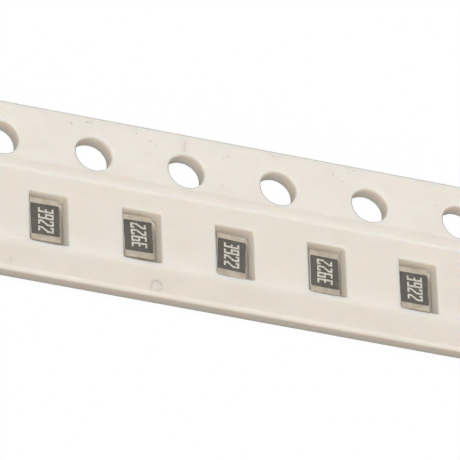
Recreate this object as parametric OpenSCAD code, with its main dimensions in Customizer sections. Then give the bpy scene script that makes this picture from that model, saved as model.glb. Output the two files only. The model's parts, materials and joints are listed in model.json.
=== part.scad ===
// Strip of 8 mm punched card carrier tape with chip resistors in its pockets.
// Origin: bottom centre of the strip. +X runs along the tape, +Y towards the sprocket holes, +Z up.

/* [Strip] */
// Number of pockets on the strip
pocket_count = 7; // [2:1:8]
// Distance between neighbouring pockets, and between neighbouring sprocket holes
pitch = 4; // [4:0.5:8]
// Width of the tape
tape_w = 8; // [7.8:0.1:12]
// Thickness of the card
card_t = 0.7; // [0.6:0.05:1.1]
// Rounding of the card's lower long edges, left by the slitting knives
slit_lower_r = 0.2; // [0.05:0.01:0.25]
// Rounding of the card's upper long edges
slit_upper_r = 0.12; // [0.02:0.01:0.25]

/* [Sprocket holes] */
// Diameter of a sprocket hole
hole_d = 1.55; // [1.5:0.01:1.6]
// Distance from the tape's far edge to the row of hole centres
hole_edge = 1.75; // [1.65:0.05:1.9]
// Radius that the punch rolls onto the upper rim of every hole and pocket
rim_r = 0.1; // [0.05:0.01:0.15]

/* [Pockets] */
// Distance from the row of hole centres to the row of pocket centres
pocket_row = 3.5; // [3.4:0.05:5.5]
// Free width in a pocket beside the chip, across its short side
pocket_free_w = 0.4; // [0.35:0.05:0.6]
// Free length in a pocket beyond the chip, along its long side
pocket_free_l = 0.35; // [0.35:0.05:0.6]
// Radius of a pocket's upright corners
pocket_corner_r = 0.08; // [0.05:0.01:0.15]

/* [Sealed tapes] */
// Thickness of the clear cover tape
cover_t = 0.06; // [0.04:0.01:0.1]
// Thickness of the bottom tape
bottom_t = 0.05; // [0.04:0.01:0.1]
// Gap between the far edge of the sealed tapes and the rolled rim of the sprocket holes
film_hole_gap = 0.025; // [0:0.005:0.1]
// Strip of bare card between the sealed tapes and the near edge
film_margin = 0.2; // [0.1:0.05:0.3]
// Width of a seal track, where the cover tape is pressed into the card
seal_w = 0.3; // [0.2:0.05:0.4]
// Width of the slope on each side of a seal track
seal_slope = 0.06; // [0.03:0.01:0.1]
// Depth of a seal track
seal_depth = 0.03; // [0.01:0.01:0.05]
// Distance from the cover tape's far edge to the middle of the far seal track
seal_far_in = 0.3; // [0.28:0.02:0.4]
// Distance from the cover tape's near edge to the middle of the near seal track
seal_near_in = 0.75; // [0.4:0.05:0.9]

/* [Chip resistor] */
// Length of a chip, over its terminations
chip_l = 2; // [1.6:0.05:2.4]
// Width of a chip
chip_w = 1.25; // [0.8:0.05:1.6]
// Thickness of the alumina substrate
substrate_t = 0.39; // [0.25:0.01:0.45]
// Thickness of the plated terminations
plating_t = 0.03; // [0.02:0.005:0.05]
// Outside radius where a termination turns round the chip's end
plating_bend_r = 0.06; // [0.03:0.01:0.09]
// Length of a termination on the chip's top
top_pad_l = 0.275; // [0.2:0.025:0.4]
// Length of a termination on the chip's underside
under_pad_l = 0.4; // [0.25:0.05:0.5]
// Thickness of the printed inner electrodes
electrode_t = 0.02; // [0.01:0.005:0.03]
// Distance that an inner electrode reaches in past its termination's top
electrode_reach = 0.15; // [0.1:0.05:0.25]
// Distance from the chip's side to an inner electrode
electrode_side = 0.05; // [0.02:0.01:0.15]
// Thickness of the resistive film above the inner electrodes
film_t = 0.02; // [0.01:0.005:0.03]
// Length of resistive film that laps over each inner electrode
film_lap = 0.1; // [0.05:0.01:0.1]
// Distance from the chip's side to the resistive film
film_side = 0.15; // [0.1:0.01:0.3]
// Width of the laser cut that trims the resistive film
trim_w = 0.04; // [0.02:0.01:0.06]
// Length of the trim cut across the film, and of its turn along the film
trim_leg = [0.38, 0.3];
// Height of the overcoat's rim above the inner electrodes
overcoat_rim_t = 0.035; // [0.02:0.005:0.05]
// Rise of the overcoat's crown above its rim
overcoat_crown = 0.025; // [0.01:0.005:0.05]
// Distance from the chip's side to the overcoat
overcoat_side = 0.03; // [0.02:0.01:0.1]
// Radius of the overcoat's corners in plan
overcoat_corner_r = 0.05; // [0.02:0.01:0.1]

/* [How the chips lie] */
// Least gap between a chip and its pocket's walls
chip_gap = 0.01; // [0.005:0.005:0.03]
// For each pocket: share of the free play used along X and along Y, and the chip's turn in degrees
chip_lie = [
    [-0.3, 0.4, 182],
    [-0.55, 0.38, 1],
    [-0.6, 0.64, 181.8],
    [-0.55, -0.03, -2.6],
    [-0.2, 0.06, 179.5],
    [-0.66, 0.18, 0.8],
    [-0.5, 0.35, 1.5],
    [-0.3, -0.2, 178],
];

/* [Hidden] */
$fn = 96;
CHIP_PIECES = ["substrate", "inner_electrodes", "resistive_film", "overcoat", "terminations"];

// How far a cutting shape runs past the face that it cuts
past = 0.1;

// The strip, cut through the middle of a sprocket hole at both ends
strip_l = pocket_count * pitch;
hole_y = tape_w / 2 - hole_edge;
pocket_y = hole_y - pocket_row;
pocket_w = chip_w + pocket_free_w;
pocket_l = chip_l + pocket_free_l;

// Heights of the layers
card_z = bottom_t;
card_top_z = card_z + card_t;

// The sealed tapes, between the sprocket holes and the near edge
film_far_y = hole_y - hole_d / 2 - rim_r - film_hole_gap;
film_near_y = film_margin - tape_w / 2;
seal_ys = [film_near_y + seal_near_in, film_far_y - seal_far_in];

// Heights in a chip, above its underside
substrate_z = plating_t;
substrate_top_z = substrate_z + substrate_t;
electrode_top_z = substrate_top_z + electrode_t;
film_top_z = electrode_top_z + film_t;
overcoat_rim_z = electrode_top_z + overcoat_rim_t;

// Places along a chip, from its middle
plated_end_y = chip_l / 2;
substrate_end_y = plated_end_y - plating_t;
overcoat_end_y = plated_end_y - top_pad_l;
electrode_in_y = overcoat_end_y - electrode_reach;

function pocket_x(i) = (i - (pocket_count + 1) / 2) * pitch;

// Room that a turned chip has on each side of its pocket, along X and along Y
function free_play(turn) = [
    (pocket_w - chip_w * abs(cos(turn)) - chip_l * abs(sin(turn))) / 2 - chip_gap,
    (pocket_l - chip_l * abs(cos(turn)) - chip_w * abs(sin(turn))) / 2 - chip_gap,
];

// Outline of a seal track, from its near side to its far side, in a face at height z
function track_points(y, z) = [
    [y - seal_w / 2 - seal_slope, z],
    [y - seal_w / 2, z - seal_depth],
    [y + seal_w / 2, z - seal_depth],
    [y + seal_w / 2 + seal_slope, z],
];

// The cover tape's lower or upper face in section, at height z, from its near edge to its far edge
function cover_face(z) = concat(
    [[film_near_y, z]],
    [for (y = seal_ys) each track_points(y, z)],
    [[film_far_y, z]]
);

function reversed(points) = [for (i = [len(points) - 1:-1:0]) points[i]];

// Draws a section of the Y-Z plane along X, with its middle at x = 0
module along_x(length) {
    rotate([90, 0, 90]) linear_extrude(height = length, center = true) children();
}

// Draws a section of the X-Z plane along Y, with its middle at y = 0
module along_y(length) {
    rotate([90, 0, 0]) linear_extrude(height = length, center = true) children();
}

// Rectangle with round corners, its middle at the origin
module rounded_rectangle(w, l, r) {
    square([w - 2 * r, l], center = true);
    square([w, l - 2 * r], center = true);
    for (x = [-1, 1], y = [-1, 1]) translate([x * (w / 2 - r), y * (l / 2 - r)]) circle(r);
}

// What a rounding of radius r removes from a corner at the origin whose material lies at -x, -y
module corner_waste(r) {
    difference() {
        translate([-r, -r]) square(r + past);
        translate([-r, -r]) circle(r);
        translate([-r - past, -r - past]) square([past, r + 2 * past]);
        translate([-r - past, -r - past]) square([r + 2 * past, past]);
    }
}

// What a rolled rim removes beside a wall at x = 0 whose material lies at +x, below y = 0
module rim_waste() {
    difference() {
        translate([-past, -rim_r]) square([rim_r + past, rim_r + past]);
        translate([rim_r, -rim_r]) circle(rim_r);
    }
}

// Section of the card, with its long edges broken by the slitting knives
module card_section() {
    difference() {
        translate([-tape_w / 2, card_z]) square([tape_w, card_t]);
        for (side = [0, 1]) mirror([side, 0]) {
            translate([tape_w / 2, card_top_z]) corner_waste(slit_upper_r);
            translate([tape_w / 2, card_z]) mirror([0, 1]) corner_waste(slit_lower_r);
        }
        for (y = seal_ys) polygon(concat(track_points(y, card_top_z), [[y, card_top_z + past]]));
    }
}

// A sprocket hole with its rolled upper rim
module sprocket_hole() {
    translate([0, 0, card_z - past]) cylinder(h = card_t + 2 * past, d = hole_d);
    translate([0, 0, card_top_z]) rotate_extrude() translate([hole_d / 2, 0]) rim_waste();
}

// A pocket, punched right through the card, with its rolled upper rim
module pocket() {
    straight_w = pocket_w - 2 * pocket_corner_r;
    straight_l = pocket_l - 2 * pocket_corner_r;
    translate([0, 0, card_z - past])
        linear_extrude(card_t + 2 * past) rounded_rectangle(pocket_w, pocket_l, pocket_corner_r);
    translate([0, 0, card_top_z]) {
        for (side = [0, 180]) rotate(side) {
            translate([pocket_w / 2, 0, 0]) along_y(straight_l) rim_waste();
            rotate(90) translate([pocket_l / 2, 0, 0]) along_y(straight_w) rim_waste();
        }
        for (side = [0:3]) {
            x = (side == 0 || side == 3) ? 1 : -1;
            y = (side < 2) ? 1 : -1;
            translate([x * straight_w / 2, y * straight_l / 2, 0]) rotate(90 * side)
                rotate_extrude(angle = 90) intersection() {
                    translate([pocket_corner_r, 0]) rim_waste();
                    translate([0, -rim_r]) square(pocket_corner_r + 2 * rim_r + past);
                }
        }
    }
}

module carrier_tape() {
    color([0.91, 0.87, 0.81]) difference() {
        along_x(strip_l) card_section();
        for (i = [0:pocket_count]) translate([pocket_x(i + 0.5), hole_y, 0]) sprocket_hole();
        for (i = [1:pocket_count]) translate([pocket_x(i), pocket_y, 0]) pocket();
    }
}

module bottom_tape() {
    color([0.93, 0.91, 0.86]) along_x(strip_l)
        translate([film_near_y, 0]) square([film_far_y - film_near_y, bottom_t]);
}

module cover_tape() {
    color([0.96, 0.94, 0.88, 0.35]) along_x(strip_l)
        polygon(concat(cover_face(card_top_z), reversed(cover_face(card_top_z + cover_t))));
}

// Lays a chip's piece in pocket i
module in_pocket(i) {
    lie = chip_lie[i - 1];
    play = free_play(lie[2]);
    translate([pocket_x(i) + lie[0] * play[0], pocket_y + lie[1] * play[1], card_z]) rotate(lie[2]) children();
}

module substrate() {
    color([0.95, 0.95, 0.93]) translate([-chip_w / 2, -substrate_end_y, substrate_z])
        cube([chip_w, 2 * substrate_end_y, substrate_t]);
}

module inner_electrodes() {
    color([0.75, 0.74, 0.7]) for (end = [0, 180]) rotate(end)
        translate([electrode_side - chip_w / 2, electrode_in_y, substrate_top_z])
            cube([chip_w - 2 * electrode_side, substrate_end_y - electrode_in_y, electrode_t]);
}

// Section of the resistive film, which steps up over the inner electrodes
module film_section() {
    translate([-electrode_in_y, substrate_top_z]) square([2 * electrode_in_y, electrode_t + film_t]);
    translate([-electrode_in_y - film_lap, electrode_top_z]) square([2 * (electrode_in_y + film_lap), film_t]);
}

// The laser's path: in from the film's side, then along the film
module trim_cut() {
    side_x = chip_w / 2 - film_side;
    translate([side_x - trim_leg[0], 0, substrate_top_z - past]) {
        cube([trim_leg[0] + past, trim_w, electrode_t + film_t + 2 * past]);
        cube([trim_w, trim_leg[1], electrode_t + film_t + 2 * past]);
    }
}

module resistive_film() {
    color([0.25, 0.24, 0.22]) difference() {
        along_x(chip_w - 2 * film_side) film_section();
        trim_cut();
    }
}

// Arch of the overcoat in section: a rim of equal height at both sides and a crown between them
module crown_section(w) {
    crown_r = (w * w / 4 + overcoat_crown * overcoat_crown) / (2 * overcoat_crown);
    intersection() {
        translate([-w / 2, substrate_top_z]) square([w, overcoat_rim_z + overcoat_crown - substrate_top_z]);
        translate([0, overcoat_rim_z + overcoat_crown - crown_r]) circle(crown_r, $fn = 720);
    }
}

module overcoat() {
    w = chip_w - 2 * overcoat_side;
    color([0.3, 0.3, 0.29]) difference() {
        intersection() {
            translate([0, 0, substrate_top_z]) linear_extrude(1) rounded_rectangle(w, 2 * overcoat_end_y, overcoat_corner_r);
            along_x(chip_w) crown_section(2 * overcoat_end_y);
            along_y(chip_l) crown_section(w);
        }
        inner_electrodes();
        resistive_film();
    }
}

// Section of a termination, wrapped round the substrate's end at +y
module termination_section() {
    height = electrode_top_z + plating_t;
    difference() {
        translate([plated_end_y - under_pad_l, 0]) square([under_pad_l, height]);
        translate([-plated_end_y, substrate_z]) square([plated_end_y + substrate_end_y, substrate_t]);
        translate([-plated_end_y, substrate_z]) square([plated_end_y + overcoat_end_y, height]);
        translate([plated_end_y, height]) corner_waste(plating_bend_r);
        translate([plated_end_y, 0]) mirror([0, 1]) corner_waste(plating_bend_r);
    }
}

module terminations() {
    color([0.78, 0.75, 0.7]) difference() {
        for (end = [0, 180]) rotate(end) along_x(chip_w) termination_section();
        inner_electrodes();
    }
}

carrier_tape();
bottom_tape();
cover_tape();
for (i = [1:pocket_count]) {
    in_pocket(i) substrate();
    in_pocket(i) inner_electrodes();
    in_pocket(i) resistive_film();
    in_pocket(i) overcoat();
    in_pocket(i) terminations();
}
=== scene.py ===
"""Looks of a cut strip of 8 mm punched card carrier tape with chip resistors in its pockets.

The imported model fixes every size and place. This script gives the card its rolled punch rims and
fibrous walls, lays the sealed tapes on it, and finishes and marks the chips. Lengths in the classes
below are millimetres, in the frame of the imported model, and meshes are made in metres.
"""

from __future__ import annotations

import json
import logging
import math
import random
from collections.abc import Callable, Iterable, Sequence
from dataclasses import dataclass
from enum import Enum
from functools import partial, reduce
from typing import Any, ClassVar

import bmesh
import bpy
import numpy as np
from mathutils import Matrix, Vector, noise
from mathutils.geometry import delaunay_2d_cdt


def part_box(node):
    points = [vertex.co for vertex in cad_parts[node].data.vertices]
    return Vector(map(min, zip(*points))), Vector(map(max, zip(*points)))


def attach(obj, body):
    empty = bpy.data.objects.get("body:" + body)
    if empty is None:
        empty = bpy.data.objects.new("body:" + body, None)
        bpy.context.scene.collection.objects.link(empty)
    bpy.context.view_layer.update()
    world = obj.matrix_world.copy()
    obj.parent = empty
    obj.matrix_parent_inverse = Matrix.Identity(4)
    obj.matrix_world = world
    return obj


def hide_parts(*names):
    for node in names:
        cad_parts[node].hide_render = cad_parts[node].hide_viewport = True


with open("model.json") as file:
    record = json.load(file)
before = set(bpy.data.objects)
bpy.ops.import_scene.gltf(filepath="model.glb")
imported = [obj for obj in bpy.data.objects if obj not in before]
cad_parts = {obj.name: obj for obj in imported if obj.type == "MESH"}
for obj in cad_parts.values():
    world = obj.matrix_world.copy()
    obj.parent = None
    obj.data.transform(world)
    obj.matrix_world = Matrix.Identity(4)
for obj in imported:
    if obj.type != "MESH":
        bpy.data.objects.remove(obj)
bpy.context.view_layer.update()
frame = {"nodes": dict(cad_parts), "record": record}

LOG = logging.getLogger("carrier_tape")
MM = 0.001
BODY = "root"
SIDES = (-1, 1)

Point2 = tuple[float, float]
Point3 = tuple[float, float, float]
Colour = tuple[float, float, float, float]
Faces = list[list[int]]
Numbers = float | np.ndarray
Height = Callable[[np.ndarray, np.ndarray], np.ndarray]
Mesh = bpy.types.Mesh
Material = bpy.types.Material
Socket = bpy.types.NodeSocket


def linear(red: float, green: float, blue: float) -> Colour:
    """Turns an sRGB colour into the linear colour that a shader takes.

    Args:
        red: Red, from 0 to 255.
        green: Green, from 0 to 255.
        blue: Blue, from 0 to 255.

    Returns:
        The linear colour with an alpha of 1.
    """
    parts = [c / 255 for c in (red, green, blue)]
    r, g, b = (c / 12.92 if c <= 0.04045 else ((c + 0.055) / 1.055) ** 2.4 for c in parts)
    return (r, g, b, 1.0)


def quarter_turn(steps: int) -> list[Point3]:
    """Returns the share, the sine and the cosine at each of some even steps through a quarter turn."""
    angles = [math.pi / 2 * k / steps for k in range(steps + 1)]
    return [(k / steps, math.sin(a), math.cos(a)) for k, a in enumerate(angles)]


def smooth_step(low: float, high: float, value: np.ndarray) -> np.ndarray:
    """Rises smoothly from 0 where the value is low to 1 where it is high."""
    t = np.clip((value - low) / (high - low), 0.0, 1.0)
    return t * t * (3 - 2 * t)


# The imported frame


@dataclass(frozen=True)
class Box:
    """Lowest and highest corner of a piece."""

    low: Vector
    high: Vector

    @classmethod
    def of(cls, node: str) -> Box:
        """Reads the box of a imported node, in millimetres."""
        low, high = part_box(node)
        return cls(Vector(low) / MM, Vector(high) / MM)

    @property
    def size(self) -> Vector:
        """Length of each side."""
        return self.high - self.low


@dataclass(frozen=True)
class StripLayout:
    """Places that all the pieces share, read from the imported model."""

    card: Box
    cover: Box
    bottom: Box
    chips: tuple[str, ...]
    hole_xs: tuple[float, ...]
    hole_y: float
    hole_r: float
    pitch: float

    @classmethod
    def read(cls) -> StripLayout:
        """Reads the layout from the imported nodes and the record's sprocket holes.

        Returns:
            The layout.
        """
        holes = [m for m in frame["record"]["mounts"] if m["kind"] == "bore"]
        xs = sorted(m["pos_m"][0] / MM for m in holes)
        chips = [n.removesuffix("_substrate") for n in frame["nodes"] if n.endswith("_substrate")]
        return cls(
            card=Box.of("carrier_tape"),
            cover=Box.of("cover_tape"),
            bottom=Box.of("bottom_tape"),
            chips=tuple(sorted(chips, key=lambda n: int(n.split("_")[1]))),
            hole_xs=tuple(xs),
            hole_y=holes[0]["pos_m"][1] / MM,
            hole_r=holes[0]["dims"]["r_mm"],
            pitch=xs[1] - xs[0],
        )

    @property
    def top(self) -> float:
        """Z of the card's upper face."""
        return self.card.high.z

    @property
    def foot(self) -> float:
        """Z of the card's lower face."""
        return self.card.low.z

    @property
    def edge(self) -> float:
        """Y of the card's far edge."""
        return self.card.high.y

    @property
    def pocket_xs(self) -> list[float]:
        """X of each pocket's centre, midway between two sprocket holes."""
        first = -(len(self.chips) - 1) / 2 * self.pitch
        return [first + k * self.pitch for k in range(len(self.chips))]

    def from_pocket(self, x: Numbers) -> Numbers:
        """Returns X counted from the middle of the nearest pocket."""
        return (x - self.pocket_xs[0] + self.pitch / 2) % self.pitch - self.pitch / 2


# Meshes


def make_object(name: str, data: bpy.types.ID) -> bpy.types.Object:
    """Adds an object to the scene, at the origin.

    Args:
        name: Name of the object.
        data: What it shows, with its place in its vertices where it is a mesh.

    Returns:
        The new object.
    """
    made = bpy.data.objects.new(name, data)
    bpy.context.scene.collection.objects.link(made)
    return made


def dress(piece: bpy.types.Object, material: Material) -> None:
    """Gives a piece one material in place of whatever it had."""
    piece.data.materials.clear()
    piece.data.materials.append(material)


def add_piece(mesh: Mesh, material: Material, slot: str, *nodes: str) -> None:
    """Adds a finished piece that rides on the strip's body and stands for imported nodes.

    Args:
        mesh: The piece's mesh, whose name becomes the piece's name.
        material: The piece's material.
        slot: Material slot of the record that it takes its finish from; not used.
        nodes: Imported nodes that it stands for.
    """
    piece = make_object(mesh.name, mesh)
    dress(piece, material)
    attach(piece, BODY)
    if nodes:
        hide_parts(*nodes)
    LOG.info("%s: %d faces", piece.name, len(mesh.polygons))


def mesh_from(name: str, points: Iterable[Sequence[float]], faces: Iterable[Sequence[int]] = ()) -> Mesh:
    """Makes a mesh from points in millimetres.

    Args:
        name: Name of the mesh.
        points: Places of its vertices, in millimetres.
        faces: Vertex numbers of each face.

    Returns:
        The mesh, in metres.
    """
    mesh = bpy.data.meshes.new(name)
    mesh.from_pydata([[c * MM for c in p] for p in points], [], [list(f) for f in faces])
    mesh.validate()
    return mesh


def mark(mesh: Mesh, label: str, values: Sequence[float]) -> None:
    """Gives a mesh an attribute with one value for each vertex."""
    mesh.attributes.new(label, "FLOAT", "POINT").data.foreach_set("value", values)


def close_and_smooth(mesh: Mesh, merge_mm: float, sharp_degrees: float) -> None:
    """Merges doubled vertices, turns the faces outwards and shades smooth except at sharp edges.

    Args:
        mesh: Mesh of a closed solid.
        merge_mm: Distance under which two vertices are one.
        sharp_degrees: Angle between two faces above which their edge is shaded sharp.
    """
    work = bmesh.new()
    work.from_mesh(mesh)
    bmesh.ops.remove_doubles(work, verts=work.verts, dist=merge_mm * MM)
    bmesh.ops.recalc_face_normals(work, faces=work.faces)
    limit = math.radians(sharp_degrees)
    for face in work.faces:
        face.smooth = True
    for edge in work.edges:
        edge.smooth = len(edge.link_faces) == 2 and edge.calc_face_angle(0.0) < limit
    work.to_mesh(mesh)
    work.free()


def grid_faces(rows: int, columns: int, start: int = 0, closed: bool = False) -> Faces:
    """Numbers the quads of a grid of vertices stored row by row.

    Args:
        rows: Number of rows.
        columns: Number of vertices in a row.
        start: Number of the grid's first vertex.
        closed: Whether each row's last vertex joins its first.

    Returns:
        Four vertex numbers for each quad.
    """
    faces = []
    for a in range(start, start + (rows - 1) * columns, columns):
        for c in range(columns if closed else columns - 1):
            d = (c + 1) % columns
            faces.append([a + c, a + d, a + columns + d, a + columns + c])
    return faces


def inside(points: np.ndarray, loop: np.ndarray) -> np.ndarray:
    """Tests which points lie inside a closed outline.

    Args:
        points: Points to test, one to a row.
        loop: Corners of the outline, one to a row.

    Returns:
        True for each point that lies inside.
    """
    x, y = points[:, :1], points[:, 1:]
    ax, ay = loop[:, 0], loop[:, 1]
    bx, by = np.roll(ax, -1), np.roll(ay, -1)
    straddles = (ay > y) != (by > y)
    rise = np.where(by == ay, 1.0, by - ay)
    return (np.count_nonzero(straddles & (x < (bx - ax) * (y - ay) / rise + ax), axis=1) % 2) == 1


def clear_of(points: np.ndarray, loops: Sequence[np.ndarray], gap: float) -> np.ndarray:
    """Tests which points lie at least a gap away from every corner of some outlines."""
    corners = np.concatenate(loops)
    return np.min(np.linalg.norm(points[:, None, :] - corners[None, :, :], axis=2), axis=1) >= gap


def fill_outline(outer: np.ndarray, cutout: np.ndarray, inner_points: np.ndarray) -> tuple[np.ndarray, Faces]:
    """Covers the area between two outlines with triangles.

    Args:
        outer: Outline of the area.
        cutout: Outline of the hole in it.
        inner_points: Points inside the area that become vertices too.

    Returns:
        The vertices in the plane, and the vertex numbers of each triangle.
    """
    edges: list[tuple[int, int]] = []
    for loop in (outer, cutout):
        start, n = len(edges), len(loop)
        edges += [(start + k, start + (k + 1) % n) for k in range(n)]
    flat = [Vector((float(p[0]), float(p[1]))) for p in np.concatenate([outer, cutout, inner_points])]
    found = delaunay_2d_cdt(flat, edges, [], 0, 1e-6)
    vertices = np.array([[v.x, v.y] for v in found[0]])
    triangles = [list(t) for t in found[2]]
    centres = vertices[np.array(triangles)].mean(axis=1)
    keep = inside(centres, outer) & ~inside(centres, cutout)
    return vertices, [t for t, kept in zip(triangles, keep) if kept]


def ribbon(line: Sequence[Point2], width: float, step: float) -> list[tuple[Point2, Point2]]:
    """Lays points along both sides of a stroke of even width, mitred at its corners.

    Args:
        line: Its centre line.
        width: Its width.
        step: Longest distance between two points along it.

    Returns:
        Pairs of a point on its left side and one on its right side.
    """
    dense: list[Vector] = []
    for a, b in zip(map(Vector, line), map(Vector, line[1:])):
        count = max(1, round((b - a).length / step))
        dense += [a.lerp(b, k / count) for k in range(count)]
    dense.append(Vector(line[-1]))
    runs = [(b - a).normalized() for a, b in zip(dense, dense[1:])]
    pairs = []
    for point, before, after in zip(dense, [runs[0], *runs], [*runs, runs[-1]]):
        normal = Vector((-(before + after).y, (before + after).x)).normalized()
        reach = width / 2 / max(normal.dot(Vector((-before.y, before.x))), 0.5)
        pairs.append((tuple(point + normal * reach), tuple(point - normal * reach)))
    return pairs


def stroke_mesh(
    name: str,
    lines: Iterable[Sequence[Point2]],
    width: float,
    step: float,
    heights: Callable[[float, float], Point2],
) -> Mesh:
    """Builds a thin closed slab along each of some lines.

    Args:
        name: Name of the mesh.
        lines: Their centre lines.
        width: Width of each slab.
        step: Longest distance between two points along it.
        heights: Gives the heights of its underside and its top at a place.

    Returns:
        The mesh.
    """
    points: list[Point3] = []
    faces: Faces = []
    for line in lines:
        pairs = ribbon(line, width, step)
        start, end = len(points), len(points) + 4 * (len(pairs) - 1)
        for a, b in pairs:
            points += [(*p, heights(*p)[level]) for p, level in ((a, 1), (b, 1), (b, 0), (a, 0))]
        faces += grid_faces(len(pairs), 4, start, closed=True)
        faces += [[start, start + 1, start + 2, start + 3], [end + 3, end + 2, end + 1, end]]
    mesh = mesh_from(name, points, faces)
    close_and_smooth(mesh, merge_mm=0.00001, sharp_degrees=30)
    return mesh


class Patches:
    """One surface collected from patches, with how cut and how deep in a well each vertex is."""

    def __init__(self) -> None:
        """Starts empty."""
        self.points: list[Sequence[float]] = []
        self.faces: Faces = []
        self.cut: list[float] = []
        self.well: list[float] = []

    def add(self, points: Sequence[Sequence[float]], faces: Faces) -> None:
        """Adds an uncut patch.

        Args:
            points: Vertices of the patch.
            faces: Vertex numbers of its faces, counted from the patch's first vertex.
        """
        start = len(self.points)
        self.points += points
        self.faces += [[start + v for v in f] for f in faces]
        self.cut += [0.0] * len(points)
        self.well += [0.0] * len(points)

    def add_cut(self, layers: Sequence[tuple[Sequence[Point3], float]], closed: bool, well: float) -> None:
        """Adds a cut wall through rings with equal numbers of points.

        Args:
            layers: Each ring, with how cut it looks, from 0 to 1.
            closed: Whether each ring goes all the way round.
            well: How deep in a well the wall is, from 0 to 1.
        """
        start, count = len(self.points), len(layers[0][0])
        self.add([p for ring, _ in layers for p in ring], grid_faces(len(layers), count, closed=closed))
        self.cut[start:] = [cut for _, cut in layers for _ in range(count)]
        self.well[start:] = [well * cut for cut in self.cut[start:]]


# Node trees


class NodeGraph:
    """A node tree under construction."""

    def __init__(self, tree: bpy.types.NodeTree) -> None:
        """Empties the tree and starts in it."""
        self.tree = tree
        tree.nodes.clear()

    def add(self, kind: str, sockets: dict[str | int, Any] | None = None, **settings: Any) -> bpy.types.Node:
        """Adds a node.

        Args:
            kind: Blender's name for the node's type.
            sockets: What each input takes: another node's output, or a plain value.
            settings: Properties of the node.

        Returns:
            The new node.
        """
        node = self.tree.nodes.new(kind)
        for key, value in settings.items():
            setattr(node, key, value)
        for key, value in (sockets or {}).items():
            if isinstance(value, Socket):
                self.tree.links.new(value, node.inputs[key])
            else:
                node.inputs[key].default_value = value
        return node

    def get(self, kind: str, sockets: dict[str | int, Any] | None = None, **settings: Any) -> Socket:
        """Adds a node and returns its first output."""
        return self.add(kind, sockets, **settings).outputs[0]

    def math(self, operation: str, first: Any, second: Any = 0.0) -> Socket:
        """Adds a Math node and returns its output."""
        return self.get("ShaderNodeMath", {0: first, 1: second}, operation=operation)

    def seen_by(self, *rays: str) -> Socket:
        """Returns 1 for a light ray of one of the named kinds, and 0 for any other."""
        path = self.add("ShaderNodeLightPath").outputs
        return reduce(partial(self.math, "MAXIMUM"), [path[f"Is {ray} Ray"] for ray in rays])


class GeometryTree(NodeGraph):
    """A Geometry Nodes tree that turns a seed mesh into a finished one."""

    def __init__(self, name: str, inputs: dict[str, float]) -> None:
        """Makes the tree with its geometry sockets and named inputs.

        Args:
            name: Name of the tree, and of the mesh that it makes.
            inputs: Value of each named input, whole for a count or a seed that takes whole numbers.
        """
        super().__init__(bpy.data.node_groups.new(name, "GeometryNodeTree"))
        face = self.tree.interface
        for way in ("INPUT", "OUTPUT"):
            face.new_socket("Geometry", in_out=way, socket_type="NodeSocketGeometry")
        self.values: dict[str, float] = {}
        for label, value in inputs.items():
            kind = "NodeSocketInt" if isinstance(value, int) else "NodeSocketFloat"
            self.values[face.new_socket(label, in_out="INPUT", socket_type=kind).identifier] = value
        self.source = self.add("NodeGroupInput").outputs

    def attribute(self, label: str) -> Socket:
        """Reads an attribute of the mesh."""
        return self.get("GeometryNodeInputNamedAttribute", {"Name": label}, data_type="FLOAT")

    def vector(self, x: Any = 0.0, y: Any = 0.0, z: Any = 0.0) -> Socket:
        """Joins three parts to a vector."""
        return self.get("ShaderNodeCombineXYZ", {0: x, 1: y, 2: z})

    def between(self, low: Point3, high: Point3) -> Socket:
        """Draws a random vector for each instance."""
        sockets = {0: low, 1: high, "Seed": self.source["Seed"]}
        return self.get("FunctionNodeRandomValue", sockets, data_type="FLOAT_VECTOR")

    def instances(self, points: Socket, shape: Socket, **more: Socket) -> Socket:
        """Lays a shape on each point."""
        return self.get("GeometryNodeInstanceOnPoints", {"Points": points, "Instance": shape, **more})

    def run(self, geometry: Socket, material: Material, seed_mesh: Mesh) -> Mesh:
        """Ends the tree in Realize Instances and Set Material, and runs it.

        Args:
            geometry: What the tree has made.
            material: Material for all of it.
            seed_mesh: Mesh that the tree starts from.

        Returns:
            The result as a plain mesh.
        """
        real = self.get("GeometryNodeRealizeInstances", {"Geometry": geometry})
        dressed = self.get("GeometryNodeSetMaterial", {"Geometry": real, "Material": material})
        self.add("NodeGroupOutput", {0: dressed})
        name = self.tree.name
        holder = make_object(f"{name}_seed", seed_mesh)
        modifier = holder.modifiers.new("build", "NODES")
        modifier.node_group = self.tree
        for identifier, value in self.values.items():
            modifier[identifier] = value
        graph = bpy.context.evaluated_depsgraph_get()
        mesh = bpy.data.meshes.new_from_object(
            holder.evaluated_get(graph), preserve_all_data_layers=True, depsgraph=graph
        )
        mesh.name = name
        holder.modifiers.remove(modifier)
        bpy.data.objects.remove(holder)
        return mesh


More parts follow.
